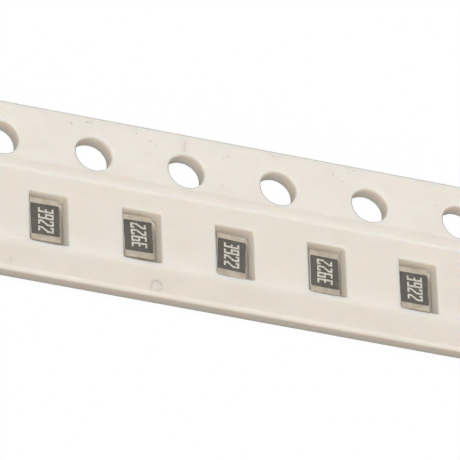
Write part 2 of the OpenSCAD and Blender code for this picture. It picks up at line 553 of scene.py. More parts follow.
class Shading(NodeGraph):
    """A material under construction, with coordinates in millimetres."""

    def __init__(self, name: str) -> None:
        """Makes an empty material.

        Args:
            name: Name of the material.
        """
        self.material = bpy.data.materials.new(name)
        self.material.use_nodes = True
        super().__init__(self.material.node_tree)
        place = self.add("ShaderNodeTexCoord").outputs["Object"]
        self.place = self.get("ShaderNodeMapping", {"Vector": place, "Scale": (1 / MM, 1 / MM, 1 / MM)})

    def stretched(self, scale: Point3, turn_degrees: float = 0.0) -> Socket:
        """Returns the coordinates stretched by a factor along each axis, after a turn about Z."""
        turn = (0.0, 0.0, math.radians(turn_degrees))
        return self.get("ShaderNodeMapping", {"Vector": self.place, "Rotation": turn, "Scale": scale})

    def noise(self, where: Socket, scale: float, detail: float, warp: float = 0.0) -> Socket:
        """Returns the value of a noise texture, about 0.5 on average."""
        sockets = {"Vector": where, "Scale": scale, "Detail": detail, "Distortion": warp}
        return self.get("ShaderNodeTexNoise", sockets)

    def attribute(self, label: str) -> Socket:
        """Reads an attribute of the mesh."""
        return self.add("ShaderNodeAttribute", attribute_name=label).outputs["Fac"]

    def spread(self, value: Socket, low: Point2, high: Point2) -> Socket:
        """Maps a value smoothly so that low[0] becomes low[1] and high[0] becomes high[1]."""
        sockets = {"Value": value, 1: low[0], 2: high[0], 3: low[1], 4: high[1]}
        return self.get("ShaderNodeMapRange", sockets, interpolation_type="SMOOTHSTEP")

    def blend(self, share: Any, first: Any, second: Any) -> Socket:
        """Mixes two colours and returns the result."""
        return self.add("ShaderNodeMix", {0: share, 6: first, 7: second}, data_type="RGBA").outputs[2]

    def mix(self, share: Socket, first: Socket, second: Socket) -> Socket:
        """Mixes two shaders."""
        return self.get("ShaderNodeMixShader", {0: share, 1: first, 2: second})

    def bump(self, height: Socket, depth: float) -> Socket:
        """Returns a normal bumped by a height from 0 to 1 that stands for a depth in millimetres."""
        return self.get("ShaderNodeBump", {"Height": height, "Strength": 1.0, "Distance": depth * MM})

    def finish(self, shader: Socket) -> Material:
        """Sends a shader to the output and returns the material."""
        self.add("ShaderNodeOutputMaterial", {"Surface": shader})
        return self.material

    def surface(
        self, colour: Socket, roughness: Any, height: Socket, depth: float, more: dict[str, Any] | None = None
    ) -> Material:
        """Ends in the main shader.

        Args:
            colour: Base colour.
            roughness: Roughness, or its texture.
            height: Height of the surface, from 0 to 1.
            depth: What that height stands for, in millimetres.
            more: Any other inputs of the shader.

        Returns:
            The material.
        """
        sockets = {"Base Color": colour, "Roughness": roughness, "Normal": self.bump(height, depth)}
        return self.finish(self.get("ShaderNodeBsdfPrincipled", sockets | (more or {})))


# Finishes


@dataclass(frozen=True)
class CardFinish:
    """Bleached card: soft mottling, fibres along the tape, a few specks, layered cut walls, and painted
    sheen, light and shade.
    """

    face: Colour = linear(233.5, 226.5, 217)
    shade: Colour = linear(227, 219, 207)
    painted_sheen: Colour = linear(248, 242, 235)
    slit: Colour = linear(210, 200, 186)
    cut: Colour = linear(226, 214, 197)
    painted_wall_top_light: Colour = linear(246, 236, 224)
    painted_well_light: Colour = linear(253, 240, 229)
    # Dark colour for the painted shade on the walls and rims.
    exit: Colour = linear(112, 99, 70)
    speck: Colour = linear(176, 163, 144)
    speck_share: float = 0.45
    # Strengths of the painted shade towards the walls' foot and on the rims.
    low_shade: float = 0.18
    exit_shade: float = 0.3
    under_shade: float = 0.5
    rim_darkening_strength: float = 0.6
    # Painted sheen: Y and share of the lighter colour at each stop, for light streaks along the seal tracks
    # and the near edge.
    sheen: tuple[Point2, ...] = (
        (-3.92, 0.0), (-3.8, 0.16), (-3.66, 0.0), (-2.98, 0.0), (-2.78, 0.1), (-2.64, 0.4), (-2.52, 0.72),
        (-2.38, 0.55), (-2.1, 0.42), (-1.7, 0.25), (-1.5, 0.22), (0.64, 0.22), (0.77, 0.35), (0.85, 0.9),
        (0.9, 1.0), (0.96, 0.7), (1.05, 0.42), (1.22, 0.22), (1.38, 0.1), (1.5, 0.26),
    )
    sheen_span: float = 8.0
    wander: float = 0.06
    roughness: float = 0.85
    specular: float = 0.25
    glow: float = 1.0
    glow_reach: Point3 = (1.0, 0.72, 0.5)
    glow_mm: float = 0.45
    bump: float = 0.006

    def material(self) -> Material:
        """Builds the material.

        Returns:
            The finished material.
        """
        s = Shading("card")
        fibre = s.noise(s.stretched((2.2, 9.0, 9.0)), 1.6, 5.0, 1.2)
        crossing = s.noise(s.stretched((3.0, 12.0, 12.0), 64.0), 1.2, 4.0, 0.8)
        grain = s.math("MULTIPLY", s.math("ADD", fibre, crossing), 0.5)
        layers = s.noise(s.stretched((1.4, 1.4, 34.0)), 1.0, 4.0, 0.3)
        spot = s.add("ShaderNodeSeparateXYZ", {"Vector": s.place}).outputs
        cut = s.attribute("cut")
        colour = s.blend(cut, self.face_colour(s, grain, spot["Y"]), self.cut_colour(s, layers, spot["Z"]))
        # Painted shade on the near left of each hole's rim, and a darker line along the far edge.
        colour = s.blend(s.math("MULTIPLY", s.attribute("worn"), self.rim_darkening_strength), colour, self.exit)
        relief = s.get("ShaderNodeSeparateColor", {"Color": s.blend(cut, grain, layers)})
        glow = {
            "Specular IOR Level": self.specular,
            "Subsurface Weight": self.glow,
            "Subsurface Radius": self.glow_reach,
            "Subsurface Scale": self.glow_mm * MM,
        }
        return s.surface(colour, self.roughness, relief, self.bump, glow)

    def face_colour(self, s: Shading, grain: Socket, across: Socket) -> Socket:
        """Colours the card's faces.

        Args:
            s: The card's shading.
            grain: Pattern of its fibres.
            across: Y in millimetres.

        Returns:
            The colour.
        """
        mottle = s.noise(s.stretched((0.7, 1.1, 1.1)), 1.0, 3.0, 0.6)
        face = s.blend(s.spread(mottle, (0.32, 0.0), (0.72, 0.55)), self.face, self.shade)
        face = s.blend(s.spread(grain, (0.56, 0.0), (0.75, 0.35)), face, self.shade)
        cells = s.add("ShaderNodeTexVoronoi", {"Vector": s.place, "Scale": 1.7, "Randomness": 1.0}).outputs
        chance = s.get("ShaderNodeSeparateColor", {"Color": cells["Color"]})
        near = s.spread(cells["Distance"], (0.03, 1.0), (0.07, 0.0))
        speck = s.math("MULTIPLY", near, s.math("GREATER_THAN", chance, 0.82))
        face = s.blend(s.math("MULTIPLY", speck, self.speck_share), face, self.speck)
        # Painted sheen: lighter streaks along the seal tracks and the near edge.
        return s.blend(self.painted_sheen_share(s, across), face, self.painted_sheen)

    def cut_colour(self, s: Shading, layers: Socket, height: Socket) -> Socket:
        """Colours the walls that a punch or knife has cut, with painted light on the upper walls and in the
        pockets and painted shade towards their foot.

        Args:
            s: The card's shading.
            layers: Pattern of the card's layers.
            height: Z in millimetres.

        Returns:
            The colour.
        """
        well = s.attribute("well")
        cut = s.blend(s.spread(layers, (0.35, 0.0), (0.7, 1.0)), self.cut, self.face)
        cut = s.blend(s.spread(well, (0.0, 0.6), (0.4, 0.0)), cut, self.slit)
        # Painted light: the upper part of each pocket and hole wall is lighter.
        high = s.spread(height, (0.4, 0.0), (0.7, 1.0))
        cut = s.blend(s.math("MULTIPLY", high, s.spread(well, (0.0, 0.0), (0.4, 1.0))), cut, self.painted_wall_top_light)
        # Painted shade: the walls darken towards their foot, and a dark line runs just above the lower face.
        low = s.spread(height, (0.05, self.low_shade), (0.5, 0.0))
        under = s.spread(height, (0.12, self.under_shade), (0.28, 0.0))
        low = s.math("ADD", low, s.math("MULTIPLY", under, s.spread(well, (0.0, 1.0), (0.3, 0.0))))
        exit_line = s.spread(height, (0.07, self.exit_shade), (0.13, 0.0))
        cut = s.blend(s.math("ADD", low, exit_line), cut, self.exit)
        # Painted light: pocket walls, and less so hole walls, are lifted towards white.
        return s.blend(s.spread(well, (0.3, 0.0), (1.0, 0.95)), cut, self.painted_well_light)

    def painted_sheen_share(self, s: Shading, across: Socket) -> Socket:
        """Returns the share of painted sheen, lighter streaks along the seal tracks and the near edge, by the
        place across the tape.

        Args:
            s: The card's shading.
            across: Y in millimetres.

        Returns:
            The share, from 0 to 1.
        """
        drift = s.math("SUBTRACT", s.noise(s.stretched((0.16, 0.0, 0.0)), 1.0, 2.0), 0.5)
        across = s.math("ADD", across, s.math("MULTIPLY", drift, 4 * self.wander))
        share = s.math("ADD", s.math("DIVIDE", across, self.sheen_span), 0.5)
        ramp = s.add("ShaderNodeValToRGB", {"Fac": share})
        stops = ramp.color_ramp.elements
        stops.remove(stops[1])
        for k, (place, white) in enumerate(self.sheen):
            position = place / self.sheen_span + 0.5
            stop = stops.new(position) if k else stops[0]
            stop.position = position
            stop.color = (white, white, white, 1.0)
        return ramp.outputs[0]


@dataclass(frozen=True)
class TissueFinish:
    """Thin bottom tape: pale, a little glossier than the card, with long soft fibres, and painted shade where
    it floors a pocket.
    """

    light: Colour = linear(233, 227, 214)
    dark: Colour = linear(219, 211, 195)
    pocket_floor_shade: Colour = linear(162, 153, 138)

    def material(self) -> Material:
        """Builds the material.

        Returns:
            The finished material.
        """
        s = Shading("bottom_tape")
        fibre = s.noise(s.stretched((1.2, 7.0, 7.0)), 1.4, 5.0, 2.0)
        colour = s.blend(s.spread(fibre, (0.35, 0.0), (0.7, 1.0)), self.light, self.dark)
        # Painted shade on the pocket floors, lighter again near the pocket walls.
        colour = s.blend(s.spread(s.attribute("open"), (0.0, 0.0), (0.1, 1.0)), colour, self.pocket_floor_shade)
        return s.surface(colour, 0.5, fibre, 0.004)


@dataclass(frozen=True)
class FilmFinish:
    """Clear cover tape: nearly invisible, faintly yellow and faintly hazy, with painted light streaks of
    thicker haze along its adhesive beads.
    """

    tint: Colour = (0.991, 0.9885, 0.985, 1.0)
    haze_colour: Colour = linear(252, 246, 238)
    haze: float = 0.02
    painted_streak_haze: float = 0.04
    gloss_ior: float = 1.2
    roughness: float = 0.12

    def material(self) -> Material:
        """Builds the material.

        Returns:
            The finished material.
        """
        s = Shading("cover_tape")
        patchy = s.noise(s.stretched((0.9, 4.0, 1.0)), 1.3, 3.0, 0.5)
        # Painted light streak: more haze along each adhesive bead.
        share = s.math("MULTIPLY", s.attribute("bead"), s.spread(patchy, (0.3, 0.45), (0.65, 1.0)))
        haze = s.math("ADD", s.math("MULTIPLY", share, self.painted_streak_haze), self.haze)
        clear = s.get("ShaderNodeBsdfTransparent", {"Color": self.tint})
        milky = s.get("ShaderNodeBsdfDiffuse", {"Color": self.haze_colour})
        normal = s.bump(s.noise(s.stretched((0.5, 2.5, 1.0)), 1.0, 2.0, 0.4), 0.01)
        shine = s.get("ShaderNodeFresnel", {"IOR": self.gloss_ior, "Normal": normal})
        outer = s.math("SUBTRACT", 1.0, s.add("ShaderNodeNewGeometry").outputs["Backfacing"])
        gloss = s.get("ShaderNodeBsdfGlossy", {"Roughness": self.roughness, "Normal": normal})
        return s.finish(s.mix(s.math("MULTIPLY", shine, outer), s.mix(haze, clear, milky), gloss))


@dataclass(frozen=True)
class MottledFinish:
    """Glaze, fired paste, fibre or dirt: clouds of two shades, fine grit and a soft sheen."""

    name: str
    light: Colour
    dark: Colour
    roughness: float
    duller: float = 0.08
    glossier: float = 0.06
    bump: float = 0.004

    def material(self) -> Material:
        """Builds the material.

        Returns:
            The finished material.
        """
        s = Shading(self.name)
        cloud = s.noise(s.place, 3.2, 4.0, 0.5)
        grit = s.noise(s.place, 24.0, 3.0)
        mixed = s.math("ADD", s.math("MULTIPLY", cloud, 0.6), s.math("MULTIPLY", grit, 0.4))
        colour = s.blend(s.spread(mixed, (0.36, 0.0), (0.66, 1.0)), self.dark, self.light)
        rough = s.spread(grit, (0.3, self.roughness - self.glossier), (0.7, self.roughness + self.duller))
        return s.surface(colour, rough, mixed, self.bump)


@dataclass(frozen=True)
class MetalFinish:
    """Matte plated metal: fine grain, with duller and yellower patches."""

    name: str
    bright: Colour
    dull: Colour
    roughness: float
    duller: float = 0.1
    glossier: float = 0.08
    metallic: float = 0.3
    bump: float = 0.003

    def material(self) -> Material:
        """Builds the material.

        Returns:
            The finished material.
        """
        s = Shading(self.name)
        patch = s.noise(s.place, 2.6, 3.0, 0.8)
        grain = s.noise(s.place, 38.0, 2.0)
        colour = s.blend(s.spread(patch, (0.38, 0.0), (0.64, 1.0)), self.bright, self.dull)
        rough = s.spread(grain, (0.3, self.roughness - self.glossier), (0.7, self.roughness + self.duller))
        return s.surface(colour, rough, grain, self.bump, {"Metallic": self.metallic})


@dataclass(frozen=True)
class PatchyFinish:
    """Alumina or ink: one pattern that turns one shade into another and lifts the surface a little."""

    name: str
    first: Colour
    second: Colour
    scale: float
    detail: float
    warp: float
    change: Point2
    roughness: float
    bump: float

    def material(self) -> Material:
        """Builds the material.

        Returns:
            The finished material.
        """
        s = Shading(self.name)
        pattern = s.noise(s.place, self.scale, self.detail, self.warp)
        share = s.spread(pattern, (self.change[0], 0.0), (self.change[1], 1.0))
        return s.surface(s.blend(share, self.first, self.second), self.roughness, pattern, self.bump)


@dataclass(frozen=True)
class FloorFinish:
    """Plain floor that shows white to the camera and keeps a soft trace of the shadow."""

    paint: Colour = (0.4, 0.4, 0.4, 1.0)
    white: Colour = (1.0, 1.0, 1.0, 1.0)
    shadow_share: float = 0.05

    def material(self) -> Material:
        """Builds the material.

        Returns:
            The finished material.
        """
        s = Shading("floor")
        seen = s.seen_by("Camera", "Glossy", "Transmission")
        matte = s.get("ShaderNodeBsdfDiffuse", {"Color": self.paint})
        white = s.get("ShaderNodeBsdfDiffuse", {"Color": self.white})
        glow = s.get("ShaderNodeEmission", {"Color": self.white, "Strength": 1.0})
        share = s.math("MULTIPLY", seen, 1 - self.shadow_share)
        return s.finish(s.mix(share, s.mix(seen, matte, white), glow))


class Palette:
    """Every material of the strip, made once."""

    def __init__(self) -> None:
        """Builds the materials."""
        self.card = CardFinish().material()
        self.tissue = TissueFinish().material()
        self.film = FilmFinish().material()
        self.alumina = PatchyFinish(
            name="alumina",
            first=linear(240, 239, 234),
            second=linear(226, 224, 216),
            scale=18.0,
            detail=4.0,
            warp=0.0,
            change=(0.3, 0.7),
            roughness=0.7,
            bump=0.003,
        ).material()
        self.ink = PatchyFinish(
            name="marking",
            first=linear(224, 219, 208),
            second=linear(186, 180, 167),
            scale=14.0,
            detail=3.0,
            warp=0.4,
            change=(0.4, 0.66),
            roughness=0.75,
            bump=0.002,
        ).material()
        self.overcoat = MottledFinish("overcoat", linear(80, 75, 68), linear(60, 56, 50), 0.55).material()
        resistor = MottledFinish("resistive_film", linear(62, 60, 57), linear(44, 43, 42), 0.4)
        self.resistor = resistor.material()
        self.plating = MetalFinish("plating", linear(196, 187, 171), linear(180, 168, 150), 0.6).material()
        electrode = MetalFinish("inner_electrode", linear(200, 198, 192), linear(176, 172, 162), 0.55)
        self.electrode = electrode.material()
        self.dirt = MottledFinish("specks", linear(186, 172, 150), linear(150, 134, 108), 0.8).material()
        self.fuzz = MottledFinish("fuzz", linear(236, 229, 218), linear(214, 205, 190), 0.8).material()
        self.scuff = MottledFinish("scuff", linear(216, 210, 202), linear(204, 198, 190), 0.6).material()


# The card


@dataclass(frozen=True)
class RoundedOutline:
    """A rectangle with round corners in plan, centred on the origin, with sides that may bow or roll."""

    width: float
    length: float
    corner_r: float
    corner_steps: int
    side_steps: int
    near_bow: float = 0.0
    near_in: float = 0.0
    near_roll: float = 1.0
    far_out: float = 0.0
    far_roll: float = 1.0
    end_fade: int = 3

    def ring(self, grow: float) -> np.ndarray:
        """Returns the outline grown outwards by a distance.

        Args:
            grow: Distance from the outline itself.

        Returns:
            Its points, one to a row, counter-clockwise.
        """
        half_w, half_l = self.width / 2 - self.corner_r, self.length / 2 - self.corner_r
        radius = self.corner_r + grow
        corners = [(half_w, half_l, 0), (-half_w, half_l, 90), (-half_w, -half_l, 180)]
        corners.append((half_w, -half_l, 270))
        points: list[Point2] = []
        for (x, y, turn), (next_x, next_y, next_turn) in zip(corners, corners[1:] + corners[:1]):
            for step in range(self.corner_steps + 1):
                a = math.radians(turn + 90 * step / self.corner_steps)
                points.append((x + radius * math.cos(a), y + radius * math.sin(a)))
            a = math.radians(next_turn)
            start, end = points[-1], (next_x + radius * math.cos(a), next_y + radius * math.sin(a))
            for step in range(1, self.side_steps):
                t = step / self.side_steps
                points.append((start[0] + (end[0] - start[0]) * t, start[1] + (end[1] - start[1]) * t))
        ring = np.array(points)
        across = np.clip(1 - (ring[:, 0] / (self.width / 2)) ** 2, 0, 1)
        nearness = np.clip(-ring[:, 1] / (self.length / 2), 0, 1) ** self.end_fade
        farness = np.clip(ring[:, 1] / (self.length / 2), 0, 1) ** self.end_fade
        ring[:, 1] -= (self.near_bow * across - self.near_in - (1 - self.near_roll) * grow) * nearness
        ring[:, 1] += (self.far_out + (self.far_roll - 1) * grow) * farness
        return ring

    def distance(self, x: np.ndarray, y: np.ndarray) -> np.ndarray:
        """Returns how far points lie outside the outline, and 0 inside it."""
        beyond = [np.maximum(np.abs(v) - side / 2, 0) for v, side in ((x, self.width), (y, self.length))]
        return np.hypot(*beyond)


@dataclass(frozen=True)
class SealTracks:
    """The two tracks where the sealing iron presses the cover tape into the card, measured from its edges."""

    width: float = 0.3
    slope: float = 0.16
    depth: float = 0.003
    far_in: float = 0.3
    near_in: float = 0.75

    def middles(self, cover: Box) -> tuple[float, float]:
        """Returns Y of the middle of the near and the far track."""
        return cover.low.y + self.near_in, cover.high.y - self.far_in

    def sink(self, y: np.ndarray, cover: Box) -> np.ndarray:
        """Returns how deep the card's face lies below its level at each Y."""
        offs = [np.abs(y - middle) - self.width / 2 for middle in self.middles(cover)]
        return sum(self.depth * (1 - smooth_step(-self.slope / 2, self.slope, off)) for off in offs)


@dataclass(frozen=True)
class CarrierCard:
    """The punched card, built as one pitch of tape that repeats along the strip."""

    layout: StripLayout
    palette: Palette
    outline: RoundedOutline = RoundedOutline(
        width=1.65,
        length=2.35,
        corner_r=0.08,
        corner_steps=6,
        side_steps=14,
        near_bow=0.03,
        near_in=0.03,
        near_roll=0.1,
        far_out=0.03,
        far_roll=1.2,
    )
    tracks: SealTracks = SealTracks()
    row_distance: float = 3.5
    rim_r: float = 0.08
    upper_edge_r: float = 0.11
    lower_edge_r: float = 0.26
    lower_edge_fade: float = 0.8
    hole_flare: float = 0.018
    hole_well: float = 0.5
    end_cut: float = 0.6
    # Painted shade on the near left of each hole's rim, and a darker line along the far edge.
    shaded_side: Point2 = (-0.8, -0.6)
    hole_shade_fade: float = 0.04
    hole_shade_turn: Point2 = (-0.1, 0.75)
    hole_shade_height: Point2 = (0.5, 0.62)
    far_edge_darkening: float = 0.9
    far_edge_darkening_reach: Point2 = (0.11, 0.02)
    drawn_in: float = 0.006
    drawn_reach: float = 0.14
    grid: float = 0.13
    join_gap: float = 0.0004
    grid_gap: float = 0.055
    rim_gap: float = 0.02
    halos: Point2 = (0.05, 0.12)
    track_rows: tuple[float, ...] = (0.5, 0.75, 1.0, 1.25)
    rim_steps: int = 6
    wall_steps: int = 7
    hole_steps: int = 40
    upper_edge_steps: int = 4
    edge_steps: int = 5
    lower_edge_steps: int = 6
    face_roughness: float = 0.0016
    cut_roughness: float = 0.011
    tear_scale: float = 5.5
    seed: int = 7

    @property
    def pocket_y(self) -> float:
        """Y of the row of pocket centres."""
        return self.layout.hole_y - self.row_distance

    def relief(self, x: np.ndarray, y: np.ndarray) -> np.ndarray:
        """Returns how far the upper face lies below its level, in the seal tracks and round each cut.

        Args:
            x: X of each point, from the middle of the pocket.
            y: Y of each point.

        Returns:
            The depth at each point.
        """
        reaches = [self.outline.distance(x, y - self.pocket_y)]
        for side in SIDES:
            off = np.hypot(x - side * self.layout.pitch / 2, y - self.layout.hole_y)
            reaches.append(np.maximum(off - self.layout.hole_r, 0))
        sink = self.tracks.sink(y, self.layout.cover)
        for reach in reaches:
            sink += self.drawn_in * np.exp(-reach / self.drawn_reach)
        return sink

    def pocket_ring(self, grow: float) -> np.ndarray:
        """Returns the outline of this pitch's pocket, grown outwards by a distance."""
        return self.outline.ring(grow) + (0, self.pocket_y)

    def hole_arc(self, side: int, grow: float) -> np.ndarray:
        """Returns the half of a sprocket hole that this pitch holds at one side.

        Args:
            side: -1 for the left hole and 1 for the right one.
            grow: Distance from the punched wall.

        Returns:
            Its points in the order of a counter-clockwise walk round the pitch.
        """
        angles = -side * math.pi / 2 - np.linspace(0, math.pi, self.hole_steps + 1)
        radius = self.layout.hole_r + grow
        x = side * self.layout.pitch / 2 + radius * np.cos(angles)
        x[0] = x[-1] = side * self.layout.pitch / 2
        return np.stack([x, self.layout.hole_y + radius * np.sin(angles)], axis=1)

    def evenly(self, low: float, high: float) -> np.ndarray:
        """Returns places from low to high, both included, about a grid step apart."""
        return np.linspace(low, high, round((high - low) / self.grid) + 1)

    def columns(self) -> np.ndarray:
        """Returns X of the vertices along a long edge."""
        return self.evenly(-self.layout.pitch / 2, self.layout.pitch / 2)

    def border(self, inset: float, grow: float) -> np.ndarray:
        """Returns the outline of one pitch of the card's face, round the two half holes.

        Args:
            inset: Y of the far edge, and of the near one below 0.
            grow: Distance of the outline from the holes' walls.

        Returns:
            Its points, counter-clockwise.
        """
        xs = self.columns()
        half = self.layout.pitch / 2
        near = self.evenly(-inset, self.layout.hole_y - self.layout.hole_r - grow)[1:-1]
        far = self.evenly(self.layout.hole_y + self.layout.hole_r + grow, inset)[1:-1]
        right = [(half, y) for y in near], self.hole_arc(1, grow)[::-1], [(half, y) for y in far]
        left = [(-half, y) for y in far[::-1]], self.hole_arc(-1, grow), [(-half, y) for y in near[::-1]]
        parts = [[(x, -inset) for x in xs], *right, [(x, inset) for x in xs[::-1]], *left]
        return np.concatenate([np.array(p, dtype=float).reshape(-1, 2) for p in parts])

    def face(self, edge_r: float, grow: float, flare: float) -> tuple[np.ndarray, Faces]:
        """Covers one pitch of the card's upper or lower face.

        Args:
            edge_r: Distance of the face from the long edges.
            grow: Distance of the face from the punched walls.
            flare: How much wider the holes are at this face.

        Returns:
            Its vertices in plan, and its triangles.
        """
        inset = self.layout.edge - edge_r
        outer, pocket = self.border(inset, grow + flare), self.pocket_ring(grow)
        rows = round(2 * inset / self.grid) + 1
        ys = [-inset + 2 * inset * t for t in np.linspace(0, 1, rows)[1:-1]]
        for middle in self.tracks.middles(self.layout.cover):
            ys += [middle + side * row * self.tracks.width / 2 for row in self.track_rows for side in SIDES]
        grid = np.array([(x, y) for x in self.columns()[1:-1] for y in sorted(ys)])
        halos = [self.pocket_ring(grow + d) for d in self.halos]
        halos += [self.hole_arc(side, grow + flare + d)[1:-1] for side in SIDES for d in self.halos]
        halo = np.concatenate(halos)
        points = np.concatenate([halo, grid[clear_of(grid, [outer, pocket, halo], self.grid_gap)]])
        points = points[inside(points, outer) & ~inside(points, pocket)]
        return fill_outline(outer, pocket, points[clear_of(points, [outer, pocket], self.rim_gap)])

    def wall_profile(self) -> list[Point3]:
        """Lists the rings of a punched wall, from its rolled upper rim down.

        Returns:
            For each ring its distance out from the wall, its depth below the face, and how cut it looks.
        """
        r = self.rim_r
        drop = (self.layout.card.size.z - r) / self.wall_steps
        rim = [(r * (1 - sin), r * (1 - cos), share) for share, sin, cos in quarter_turn(self.rim_steps)]
        return rim + [(0.0, r + drop * step, 1.0) for step in range(1, self.wall_steps + 1)]

    def add_wall(
        self, card: Patches, ring_at: Callable[[float], np.ndarray], closed: bool, flare: float, well: float
    ) -> None:
        """Adds a punched wall under a ring.

        Args:
            card: Where to add it.
            ring_at: Gives the wall's outline grown by a distance.
            closed: Whether the outline goes all the way round.
            flare: How much wider the wall is at the lower face.
            well: How deep in a well the wall is, from 0 to 1.
        """
        top, thickness = self.layout.top, self.layout.top - self.layout.foot
        sink = self.relief(*ring_at(self.rim_r).T)
        layers = []
        for grow, depth, cut in self.wall_profile():
            share = 1 - depth / thickness
            ring = ring_at(grow + flare * (1 - share))
            layers.append(([(x, y, top - depth - s * share) for (x, y), s in zip(ring, sink)], cut))
        card.add_cut(layers, closed, well)

    def edge_profile(self) -> list[Point3]:
        """Lists the rows of a slit edge from the top down.

        Returns:
            For each row its distance from the middle of the tape, its height, and how cut it looks.
        """
        top, foot, edge = self.layout.top, self.layout.foot, self.layout.edge
        profile: list[Point3] = []
        r = self.upper_edge_r
        for share, sin, cos in quarter_turn(self.upper_edge_steps):
            profile.append((edge - r + r * sin, top - r + r * cos, share))
        upper, lower = top - self.upper_edge_r, foot + self.lower_edge_r
        for step in range(1, self.edge_steps):
            profile.append((edge, upper + (lower - upper) * step / self.edge_steps, 1.0))
        r = self.lower_edge_r
        for share, sin, cos in quarter_turn(self.lower_edge_steps):
            profile.append((edge - r + r * cos, foot + r - r * sin, 1.0 - self.lower_edge_fade * share))
        return profile

    def add_edge(self, card: Patches, side: int) -> None:
        """Adds the slit edge along one long side of one pitch.

        Args:
            card: Where to add it.
            side: -1 for the near edge and 1 for the far one.
        """
        foot, thickness = self.layout.foot, self.layout.top - self.layout.foot
        profile, xs = self.edge_profile(), self.columns()
        sink = self.relief(xs, np.full_like(xs, side * profile[0][0]))
        layers = []
        for y, z, cut in profile:
            share = (z - foot) / thickness
            layers.append(([(x, side * y, z - s * share) for x, s in zip(xs, sink)], cut))
        card.add_cut(layers, closed=False, well=0.0)

    def rim_darkening(self, points: np.ndarray) -> np.ndarray:
        """Returns painted shade on the near left of each hole's rim, and a darker line along the far edge.

        Args:
            points: Points of one pitch, one to a row.

        Returns:
            The darkening at each point, from 0 to 1.
        """
        x, y, z = points.T
        edge, (outer, inner) = self.layout.edge, self.far_edge_darkening_reach
        total = self.far_edge_darkening * smooth_step(edge - outer, edge - inner, y)
        for side in SIDES:
            dx, dy = x - side * self.layout.pitch / 2, y - self.layout.hole_y
            reach = np.hypot(dx, dy)
            towards = (self.shaded_side[0] * dx + self.shaded_side[1] * dy) / np.maximum(reach, 1e-6)
            outside = smooth_step(0.0, self.hole_shade_fade, reach - self.layout.hole_r - self.rim_r / 2)
            total += smooth_step(*self.hole_shade_turn, towards) * (1 - outside) * smooth_step(*self.hole_shade_height, z)
        return np.clip(total, 0, 1)

    def pitch_mesh(self) -> Mesh:
        """Builds one pitch of the card, open where it joins the next one.

        Returns:
            The mesh, with attributes that say how cut, how deep in a well and how darkened each vertex is.
        """
        card = Patches()
        flat, triangles = self.face(self.upper_edge_r, self.rim_r, 0.0)
        card.add([(x, y, self.layout.top - d) for (x, y), d in zip(flat, self.relief(*flat.T))], triangles)
        flat, triangles = self.face(self.lower_edge_r, 0.0, self.hole_flare)
        card.add([(x, y, self.layout.foot) for x, y in flat], triangles)
        self.add_wall(card, self.pocket_ring, closed=True, flare=0.0, well=1.0)
        for side in SIDES:
            self.add_wall(card, partial(self.hole_arc, side), False, self.hole_flare, self.hole_well)
            self.add_edge(card, side)
        mesh = mesh_from("card_pitch", card.points, card.faces)
        mark(mesh, "cut", card.cut)
        mark(mesh, "well", card.well)
        mark(mesh, "worn", self.rim_darkening(np.array(card.points)).tolist())
        return mesh

    def repeat(self, pitch_mesh: Mesh) -> Mesh:
        """Lays pitch after pitch along the strip, joins them and roughens the card.

        Args:
            pitch_mesh: One pitch of the card.

        Returns:
            The whole strip of card, open at its two cut ends.
        """
        t = GeometryTree(
            "punched_card",
            {
                "Pitches": len(self.layout.chips),
                "Pitch": self.layout.pitch * MM,
                "Face Roughness": self.face_roughness * MM,
                "Cut Roughness": self.cut_roughness * MM,
                "Seed": float(self.seed),
            },
        )
        count, pitch, plain = t.source["Pitches"], t.source["Pitch"], t.source["Face Roughness"]
        spans = t.math("SUBTRACT", count, 1.0)
        start = t.vector(t.math("MULTIPLY", t.math("MULTIPLY", spans, -0.5), pitch))
        line = {"Count": count, "Start Location": start, "Offset": t.vector(pitch)}
        laid = t.instances(t.get("GeometryNodeMeshLine", line), t.source["Geometry"])
        real = t.get("GeometryNodeRealizeInstances", {"Geometry": laid})
        whole = t.get("GeometryNodeMergeByDistance", {"Geometry": real, "Distance": self.join_gap * MM})
        pattern = {
            "Vector": t.get("GeometryNodeInputPosition"),
            "W": t.source["Seed"],
            "Scale": self.tear_scale / MM,
            "Detail": 3.0,
        }
        swing = t.math("SUBTRACT", t.get("ShaderNodeTexNoise", pattern, noise_dimensions="4D"), 0.5)
        extra = t.math("SUBTRACT", t.source["Cut Roughness"], plain)
        depth = t.math("ADD", t.math("MULTIPLY", extra, t.attribute("cut")), plain)
        amount = t.math("MULTIPLY", t.math("MULTIPLY", swing, 2.0), depth)
        push = {0: t.get("GeometryNodeInputNormal"), "Scale": amount}
        offset = t.get("ShaderNodeVectorMath", push, operation="SCALE")
        moved = t.get("GeometryNodeSetPosition", {"Geometry": whole, "Offset": offset})
        return t.run(moved, self.palette.card, pitch_mesh)

    def close_ends(self, mesh: Mesh) -> None:
        """Closes the strip's two cut ends, and marks them as cut.

        Args:
            mesh: The whole strip of card.
        """
        work = bmesh.new()
        work.from_mesh(mesh)
        cut = work.verts.layers.float["cut"]
        rim = [e for e in work.edges if len(e.link_faces) == 1]
        caps = bmesh.ops.holes_fill(work, edges=rim, sides=0)["faces"]
        for vertex in {v for cap in caps for v in cap.verts}:
            vertex[cut] = max(vertex[cut], self.end_cut)
        bmesh.ops.triangulate(work, faces=caps)
        work.to_mesh(mesh)
        work.free()

    def build(self) -> None:
        """Builds the card."""
        mesh = self.repeat(self.pitch_mesh())
        self.close_ends(mesh)
        close_and_smooth(mesh, merge_mm=0.0002, sharp_degrees=40)
        add_piece(mesh, self.palette.card, "card", "carrier_tape")


# The sealed tapes


